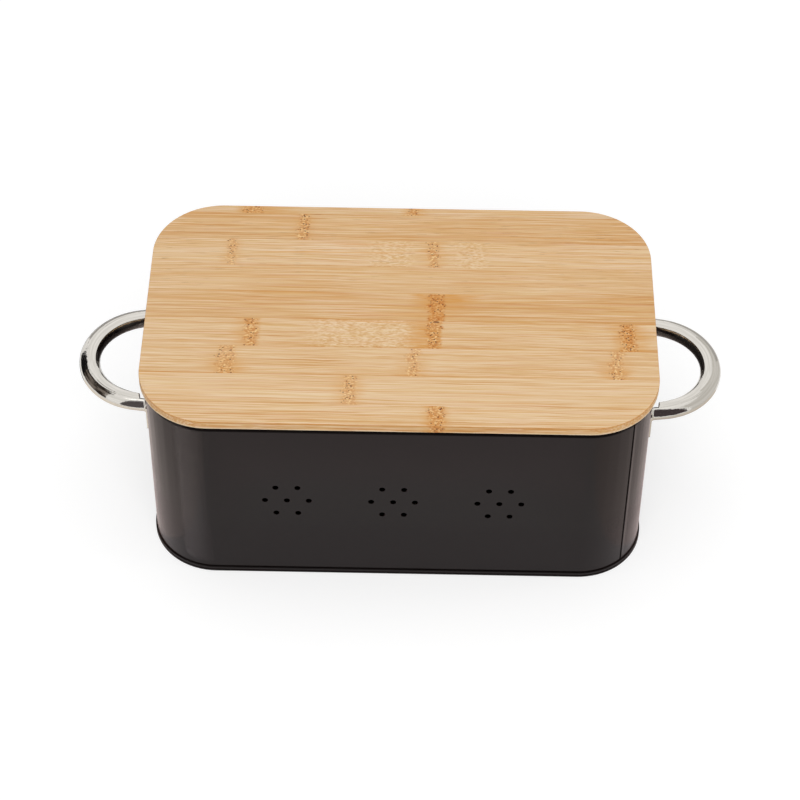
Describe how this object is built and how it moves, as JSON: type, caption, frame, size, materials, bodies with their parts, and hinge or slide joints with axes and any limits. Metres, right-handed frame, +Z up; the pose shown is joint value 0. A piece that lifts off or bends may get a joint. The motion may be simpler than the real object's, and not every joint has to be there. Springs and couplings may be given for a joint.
{
  "type": "bread bin",
  "caption": "Rounded sheet metal bread bin with vent holes in its front, a lift-off bamboo lid and a loop handle on each end.",
  "frame": {"origin": "centre of the bin's base, on the surface that it stands on", "axes": "+X along the bin's length towards the right handle, +Y from the vented front to the back, +Z up"},
  "size_m": [0.424, 0.199, 0.148],
  "materials": {
    "black_paint": "semi-gloss black paint on sheet steel",
    "chrome": "polished chrome plate on pressed steel",
    "rivet_steel": "plain bright steel",
    "bamboo": "sanded and oiled bamboo, grain along the strips"
  },
  "bodies": {
    "bin": {"wall_shell": "black_paint", "base_pan": "black_paint", "handle_left": "chrome", "handle_right": "chrome", "left_handle_rivets": "rivet_steel", "right_handle_rivets": "rivet_steel"},
    "lid": {"lid_strip_1": "bamboo", "lid_strip_2": "bamboo", "lid_strip_3": "bamboo", "lid_strip_4": "bamboo", "lid_strip_5": "bamboo", "lid_strip_6": "bamboo", "lid_strip_7": "bamboo", "lid_strip_8": "bamboo", "lid_strip_9": "bamboo"}
  },
  "joints": [
    {"name": "lid_lift", "type": "slide", "parent": "bin", "child": "lid", "axis": [0, 0, 1], "range_m": [0, 0.12]}
  ]
}
